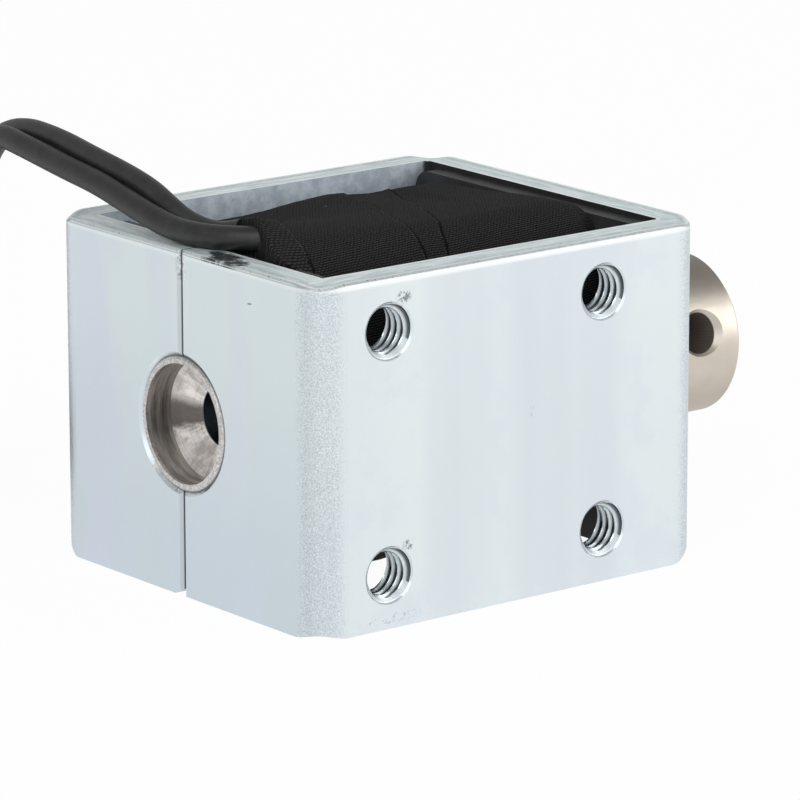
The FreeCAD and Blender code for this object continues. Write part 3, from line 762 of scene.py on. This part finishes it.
def make_thread(name, x, z, material):
    """The screw thread inside a tapped hole, as a sleeve in the near side wall with a countersunk mouth."""
    depth = FRAME_WALL - THREAD_START
    steps = round(depth / THREAD_PITCH * THREAD_POINTS_PER_PITCH)
    points = []
    grooves = []
    for i in range(THREAD_POINTS_AROUND):
        turned = i / THREAD_POINTS_AROUND
        line = [(0.0, THREAD_BACK_RADIUS, 0.0)]
        for k in range(steps + 1):
            down = depth * k / steps
            thread = thread_profile(down / THREAD_PITCH - turned)
            mouth = THREAD_ROOT_RADIUS - COUNTERSINK_SLOPE * down
            groove = (thread - THREAD_CREST_RADIUS) / (THREAD_ROOT_RADIUS - THREAD_CREST_RADIUS)
            line.append((down, max(thread, mouth), groove if thread >= mouth else 0.0))
        line.append((depth, THREAD_BACK_RADIUS, 0.0))
        angle = 2 * math.pi * turned
        for down, radius, groove in line:
            points.append((x + radius * math.cos(angle), frame_low.y + THREAD_START + down,
                           z + radius * math.sin(angle)))
            grooves.append(groove)
    faces = grid_faces(THREAD_POINTS_AROUND, steps + 3)
    obj = add_mesh(name, points, faces, material, THREAD_SHARP_ANGLE)
    obj.data.attributes.new("groove", "FLOAT", "POINT").data.foreach_set("value", grooves)


def make_threads(material):
    first_x = rear_x + TAPPED_FROM_REAR
    for i in range(2):
        for k in range(2):
            z = axis_z + (k - 0.5) * TAPPED_SPACING[1]
            make_thread("thread_%d" % (2 * i + k + 1), first_x + i * TAPPED_SPACING[0], z, material)


def belt_section():
    """Points, normals and run of the taped coil's outline in (y, z), from its lowest point round by +Y."""
    rounds = [(0.0, axis_z, TAPE_RADIUS)]
    rounds += [(y, rim_z - drop, radius) for y, drop, radius in (CROWN_FAR, CROWN_NEAR)]
    spots = []
    normals = []
    for angle in np.radians(np.arange(-90.0, 270.0, 0.5)):
        way = np.array([math.cos(angle), math.sin(angle)])
        y, z, radius = max(rounds, key=lambda c: c[0] * way[0] + c[1] * way[1] + c[2])
        spots.append(np.array([y, z]) + radius * way)
        normals.append(way)
    spots = np.array(spots + spots[:1])
    normals = np.array(normals + normals[:1])
    run = np.concatenate([[0.0], np.cumsum(np.linalg.norm(np.diff(spots, axis=0), axis=1))])
    rows = round(run[-1] / TAPE_ROW)
    even = np.linspace(0.0, run[-1], rows, endpoint=False)
    spots = np.stack([np.interp(even, run, spots[:, k]) for k in range(2)], 1)
    normals = np.stack([np.interp(even, run, normals[:, k]) for k in range(2)], 1)
    normals /= np.linalg.norm(normals, axis=1)[:, None]
    return spots, normals, even


def smooth_step(values, low, high):
    share = np.clip((values - low) / (high - low), 0.0, 1.0)
    return share * share * (3 - 2 * share)


def fray(run, seed, size):
    """A slightly uneven edge."""
    rng = np.random.default_rng(seed)
    waves = [(rng.uniform(0.4, 3.5), rng.uniform(0, 6.3)) for _ in range(7)]
    return size * sum(np.sin(run * rate + phase) for rate, phase in waves) / len(waves)


def cover_height(points, normals):
    """How far the leads and their joints lift the tape from its outline, along each point's normal."""
    lift = np.full(points.shape[:-1], -np.inf)
    for over_rim, direction, first in zip(LEADS_OVER_RIM, SPLICE_DIRECTIONS, SPLICE_COVER_STARTS):
        x, y, z = over_rim[0]
        start = np.array([rear_x + x, y, rim_z + z])
        way = np.array(Vector(direction).normalized())
        for share in np.linspace(first, 1.0, SPLICE_COVER_STEPS):
            offset = start + way * SPLICE_LENGTH * share - points
            along = (offset * normals).sum(-1)
            aside = (offset ** 2).sum(-1) - along ** 2
            under = np.maximum(SPLICE_COVER_RADIUS ** 2 - aside, 0.0)
            lift = np.where(under > 0, np.maximum(lift, along + np.sqrt(under)), lift)
    return lift


def tape_ends(crown_y, run):
    """The tape's rear and front edges. The rear one is pulled about by the crown and the leads."""
    drawn_up = smooth_step(crown_y, -2.4, -0.2) * (1.0 - smooth_step(crown_y, 4.5, 7.5))
    tuck = smooth_step(-crown_y, 3.2, 7.4) * (1.0 - smooth_step(-crown_y, 7.9, 9.0))
    near_side = smooth_step(-crown_y, 0.5, 2.2)
    rear_edge = TAPE_REAR + REAR_DRAWN_UP * drawn_up - REAR_TUCK * tuck - REAR_NEAR_SIDE * near_side
    return rear_edge + fray(run, 4, 0.08), TAPE_FRONT + fray(run, 5, 0.10)


def soft_line(values, place, width):
    """1 at a place, and less the further a value is from it."""
    return np.exp(-((values - place) / width) ** 2)


def lay_turns(from_rear, run, past):
    """The turns laid over each other: their height, how many cover a point, and the painted shadow and
    highlight at their edges.
    """
    height = np.full(from_rear.shape, -INNER_LAYER)
    layers = np.zeros(from_rear.shape, int)
    shadow = np.zeros(from_rear.shape)
    for seed, (edge_line, thickness, uneven) in enumerate(TAPE_TURNS, 1):
        edge = np.interp(past, *edge_line) + fray(run, seed, uneven)
        past_edge = from_rear - edge[:, None]
        over = 1.0 - smooth_step(past_edge, -0.04, 0.07)
        height += thickness * over
        layers += over > 0.5
        shadow += soft_line(past_edge, *EDGE_SHADE) - EDGE_WEAR_AND_SHEEN_SHARE * soft_line(past_edge, *EDGE_WEAR_AND_SHEEN)
    return height, layers, shadow


def draped(lift):
    """How high the tape spans round the places where it is lifted."""
    drape = lift.copy()
    for k in range(1, round(DRAPE_REACH / TAPE_COLUMN)):
        fall = 1.0 - k * TAPE_COLUMN / DRAPE_REACH
        drape[:, k:] = np.maximum(drape[:, k:], lift[:, :-k] * fall)
        drape[:, :-k] = np.maximum(drape[:, :-k], lift[:, k:] * fall)
    for _ in range(DRAPE_SMOOTHINGS):
        spread = (np.roll(drape, 1, 0) + np.roll(drape, -1, 0)) * 0.25
        wide = np.pad(drape, ((0, 0), (3, 3)), mode="edge")
        spread += (wide[:, :-6] + wide[:, 6:]) * 0.25
        drape = np.maximum(spread, lift)
    return drape


def end_drop(from_rear, rear_edge, front_edge):
    """How far the tape's surface drops in the rounding of its two ends."""
    reach, drop = FRONT_ROUNDING
    front = np.clip((from_rear - front_edge[:, None] + reach) / reach, 0.0, 1.0)
    front_drop = drop * (1.0 - np.sqrt(1.0 - front ** 2 * ROUNDED))
    reach, drop = REAR_ROUNDING
    rear = np.clip((rear_edge[:, None] + reach - from_rear) / reach, 0.0, 1.0)
    return front_drop + drop * rear ** 2


def outline_ring(spots, normals, from_rear, growth):
    """One column of points round the tape's outline, grown by some amount, at a place from the rear."""
    place = rear_x + np.broadcast_to(from_rear, len(spots))
    grown = spots + normals * np.broadcast_to(growth, len(spots))[:, None]
    return np.column_stack([place, grown])[:, None, :]


def weave_places(from_rear, run, layers, shadow):
    """Where each point is on its turn of tape, which lies at a slight angle, with the painted shadow and
    highlight at its edges.
    """
    slant = np.array(WEAVE_SLANTS)[layers]
    scale = np.array(WEAVE_SCALES)[layers]
    c, s = np.cos(slant), np.sin(slant)
    along = run[:, None]
    return np.stack([(c * from_rear - s * along) * scale, (s * from_rear + c * along) * scale, shadow], -1)


def make_tape(material):
    """The tape as it lies: overlapping turns with raised edges, drawn over the leads at the rear end."""
    spots, normals, run = belt_section()
    crown_y = np.where(spots[:, 1] > axis_z, spots[:, 0], OFF_CROWN_Y)
    past = run - run[np.argmin(np.abs(crown_y - NEAR_SHOULDER_Y))]
    rear_edge, front_edge = tape_ends(crown_y, run)
    columns = round((front_edge.mean() - rear_edge.mean()) / TAPE_COLUMN)
    share = np.linspace(0.0, 1.0, columns + 1)
    from_rear = rear_edge[:, None] + (front_edge - rear_edge)[:, None] * share[None, :]

    # How high it lies: its turns, the sag, the folds over the leads and the rounded ends
    height, layers, shadow = lay_turns(from_rear, run, past)
    far_side = (smooth_step(spots[:, 0], -3.0, 5.0) * smooth_step(normals[:, 1], 0.2, 0.75))[:, None]
    height -= far_side * np.interp(from_rear, *FAR_SAG)
    points = np.zeros(from_rear.shape + (3,))
    points[..., 0] = rear_x + from_rear
    points[..., 1:] = spots[:, None, :]
    ways = np.zeros_like(points)
    ways[..., 1:] = normals[:, None, :]
    height += draped(np.maximum(cover_height(points, ways) - height, 0.0))
    height -= end_drop(from_rear, rear_edge, front_edge)
    points += ways * height[..., None]

    # Its caps at the bobbin's flanges
    cap_place = np.minimum(rear_edge, REAR_CAP_PLACE)
    before = [outline_ring(spots, normals, cap_place, growth) for growth in REAR_CAP_GROWTHS[::-1]]
    before.append(points[:, :1] - ways[:, :1] * TAPE_HEM)
    front_growth = np.minimum(REAR_CAP_GROWTHS[0], height[:, -1] - FRONT_CAP_FALL)
    after = [outline_ring(spots, normals, FRONT_CAP_PLACE, front_growth)]
    grid = np.concatenate([*before, points, *after], 1)
    faces = grid_faces(*grid.shape[:2])
    obj = add_mesh("taped_coil", grid.reshape(-1, 3).tolist(), faces, material,
                   TAPE_SHARP_ANGLE)

    # The weave, which the caps' points have from the tape's ends
    caps = ((0, 0), (len(before), len(after)))
    weave = weave_places(np.pad(from_rear, caps, mode="edge"), run, np.pad(layers, caps, mode="edge"),
                         np.pad(shadow, caps))
    attribute = obj.data.attributes.new("weave", "FLOAT_VECTOR", "POINT")
    attribute.data.foreach_set("vector", weave.astype(np.float32).ravel())
    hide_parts("tape_wrap", "lead_anchor_tape")


def coil_turns(index, coiled):
    """The turns of a lead's put-away length, from the outer turn inwards on the lead's own level."""
    mean = (COIL_OUTER_TURN + COIL_INNER_TURN) / 2
    centre = Vector((rear_x + COIL_CENTRE[0], COIL_CENTRE[1], (index + 0.5) * LEAD_DIAMETER))
    x, y, _ = LEADS_TO_FLOOR[0][-1]
    start = math.atan2(y - COIL_CENTRE[1], x - COIL_CENTRE[0])
    whole = coiled / mean
    count = round(whole / (2 * math.pi) * COIL_POINTS_PER_TURN)
    points = []
    for k in range(1, count + 1):
        angle = start + whole * k / count
        radius = COIL_OUTER_TURN + (COIL_INNER_TURN - COIL_OUTER_TURN) * k / count
        points.append(centre + Vector((radius * math.cos(angle), radius * math.sin(angle), 0)))
    outward = Vector((math.cos(start + whole), math.sin(start + whole), 0))
    tangent = Vector((-outward.y, outward.x, 0))
    tip_start = centre + outward * (COIL_INNER_TURN - lead_radius)
    points.append(tip_start)
    return points, tip_start, (tangent - outward).normalized()


def add_wire(name, radius, lines, material, bevel_resolution, resolution):
    """A round wire or bundle along smooth lines, which rides on the housing."""
    curve = bpy.data.curves.new(name, "CURVE")
    curve.dimensions = "3D"
    curve.bevel_depth = radius * MM
    curve.bevel_resolution = bevel_resolution
    curve.resolution_u = resolution
    curve.use_fill_caps = True
    for line in lines:
        spline = curve.splines.new("NURBS")
        spline.points.add(len(line) - 1)
        for point, spot in zip(spline.points, line):
            point.co = (*(spot * MM), 1.0)
        spline.order_u = 3
        spline.use_endpoint_u = True
    curve.materials.append(material)
    obj = new_object(name, curve)
    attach(obj, "housing")
    return obj


def strand_lines(start, way):
    """The lines of a stripped end's strands, twisted round a straight one."""
    side = way.cross(Vector((0, 0, 1))).normalized()
    up = side.cross(way)
    lines = []
    for strand in range(STRANDS_AROUND + 1):
        radius = 0.0 if strand == STRANDS_AROUND else 2 * STRAND_RADIUS
        line = []
        for k in range(STRAND_STEPS + 1):
            run = TIP_LENGTH * k / STRAND_STEPS
            angle = 2 * math.pi * (strand / STRANDS_AROUND + run / STRAND_LAY)
            line.append(start + way * run + (side * math.cos(angle) + up * math.sin(angle)) * radius)
        lines.append(line)
    return lines


def make_lead(index, insulation, tinning):
    """One flying lead from under the tape, over the rim and down to its coil, with its stripped end."""
    number = index + 1
    route = [Vector((rear_x + x, y, rim_z + z)) for x, y, z in LEADS_OVER_RIM[index]]
    route += [Vector((rear_x + x, y, z)) for x, y, z in LEADS_TO_FLOOR[index]]
    free = sum((b - a).length for a, b in zip(route, route[1:]))
    turns, tip_start, tip_way = coil_turns(index, LEAD_LENGTH - TIP_LENGTH - free)
    lead = add_wire("lead_%d" % number, lead_radius, [route + turns], insulation,
                    bevel_resolution=7, resolution=10)
    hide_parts("lead_wire_%d" % number, "lead_coil_%d" % number)
    strands = add_wire("lead_end_%d" % number, STRAND_RADIUS, strand_lines(tip_start, tip_way), tinning,
                       bevel_resolution=3, resolution=12)
    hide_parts("lead_tip_%d" % number)


def make_floor():
    """A white table that keeps the object's shadow."""
    size = TABLE_SIZE
    mesh = bpy.data.meshes.new("table")
    corners = [(-size, -size, 0), (size, -size, 0), (size, size, 0), (-size, size, 0)]
    mesh.from_pydata(corners, [], [(0, 1, 2, 3)])
    table = new_object("table", mesh)
    paint = Paint("white_table", Roughness=0.9, Specular_IOR_Level=0.1, Base_Color=(0.9, 0.9, 0.9, 1.0))
    camera_ray = paint.node("ShaderNodeLightPath", output="Is Camera Ray")
    glossy_ray = paint.node("ShaderNodeLightPath", output="Is Glossy Ray")
    through_ray = paint.node("ShaderNodeLightPath", output="Is Transmission Ray")
    white = paint.node("ShaderNodeEmission", inputs={"Color": (1, 1, 1, 1), "Strength": 1.0})
    share = camera_ray * TABLE_SEEN + glossy_ray * TABLE_MIRRORED + through_ray * TABLE_SEEN
    surface = Value(paint, paint.shader.outputs[0])
    both = paint.node("ShaderNodeMixShader", inputs={0: share, 1: surface, 2: white})
    paint.tree.links.new(both.socket, paint.found("OUTPUT_MATERIAL").inputs["Surface"])
    mesh.materials.append(paint.material)


def make_world():
    """A white room with a bright side towards -Y and a dim ceiling, for light and reflections."""
    world = bpy.data.worlds.new("room")
    bpy.context.scene.world = world
    world.use_nodes = True
    nodes = Nodes(world.node_tree)
    background = nodes.found("BACKGROUND")
    _, y, z = nodes.parts(nodes.node("ShaderNodeTexCoord", output="Generated"))
    bright_side = (-y).step(0.0, 0.7) * (1.0 - z.step(0.45, 0.8))
    behind = y.step(0.1, 0.8) * (1.0 - z.step(0.3, 0.7))
    room = 0.42 + 0.5 * bright_side + 0.3 * behind
    camera_ray = nodes.node("ShaderNodeLightPath", output="Is Camera Ray")
    strength = camera_ray + (1.0 - camera_ray) * room
    background.inputs["Color"].default_value = (1, 1, 1, 1)
    nodes.tree.links.new(strength.socket, background.inputs["Strength"])


def add_lamp(name, place, size, power):
    light = bpy.data.lights.new(name, "AREA")
    light.shape = "SQUARE"
    light.size = size
    light.energy = power
    lamp = new_object(name, light)
    lamp.location = place
    lamp.rotation_euler = (Vector(LAMP_TARGET) - Vector(place)).to_track_quat("-Z", "Y").to_euler()


def make_camera():
    """The photograph's camera."""
    azimuth, elevation, roll = (math.radians(a) for a in (CAMERA_AZIMUTH, CAMERA_ELEVATION, CAMERA_ROLL))
    out = math.cos(elevation)
    back = Vector((math.sin(azimuth) * out, -math.cos(azimuth) * out, math.sin(elevation)))
    level = Vector((math.cos(azimuth), math.sin(azimuth), 0))
    upright = back.cross(level)
    right = level * math.cos(roll) + upright * math.sin(roll)
    up = upright * math.cos(roll) - level * math.sin(roll)
    data = bpy.data.cameras.new("camera")
    data.lens = CAMERA_LENS
    data.sensor_width = CAMERA_SENSOR
    camera = new_object("camera", data)
    turn = Matrix((right, up, back)).transposed().to_4x4()
    place = Vector((rear_x, 0, 0)) + Vector(CAMERA_PLACE)
    camera.matrix_world = Matrix.Translation(place * MM) @ turn
    bpy.context.scene.camera = camera


insulation = lead_insulation()
tinning = tinned_wire()
finishes = {
    "pole_piece": turned_core(),
    "plunger": plated_plunger(),
    "push_rod": ground_rod(),
    "guide_sleeve": drawn_brass(),
    "bobbin": moulded_nylon(),
    "winding": enamelled_copper(),
    "residual_washer": amber_film("amber_film", 1.0),
    "winding_film": amber_film("amber_film_on_coil", 0.06),
    "coil_tie": paper_tie(),
    "lead_splice_1": insulation,
    "lead_splice_2": insulation,
}
for node, finish in finishes.items():
    dress(node, finish)

make_strip(plated_strip())
make_threads(thread_plating())
make_tape(cloth_tape())
for index in range(len(LEADS_OVER_RIM)):
    make_lead(index, insulation, tinning)
make_floor()
make_world()
for lamp in LAMPS:
    add_lamp(*lamp)
make_camera()
bpy.context.scene.view_settings.view_transform = "Standard"
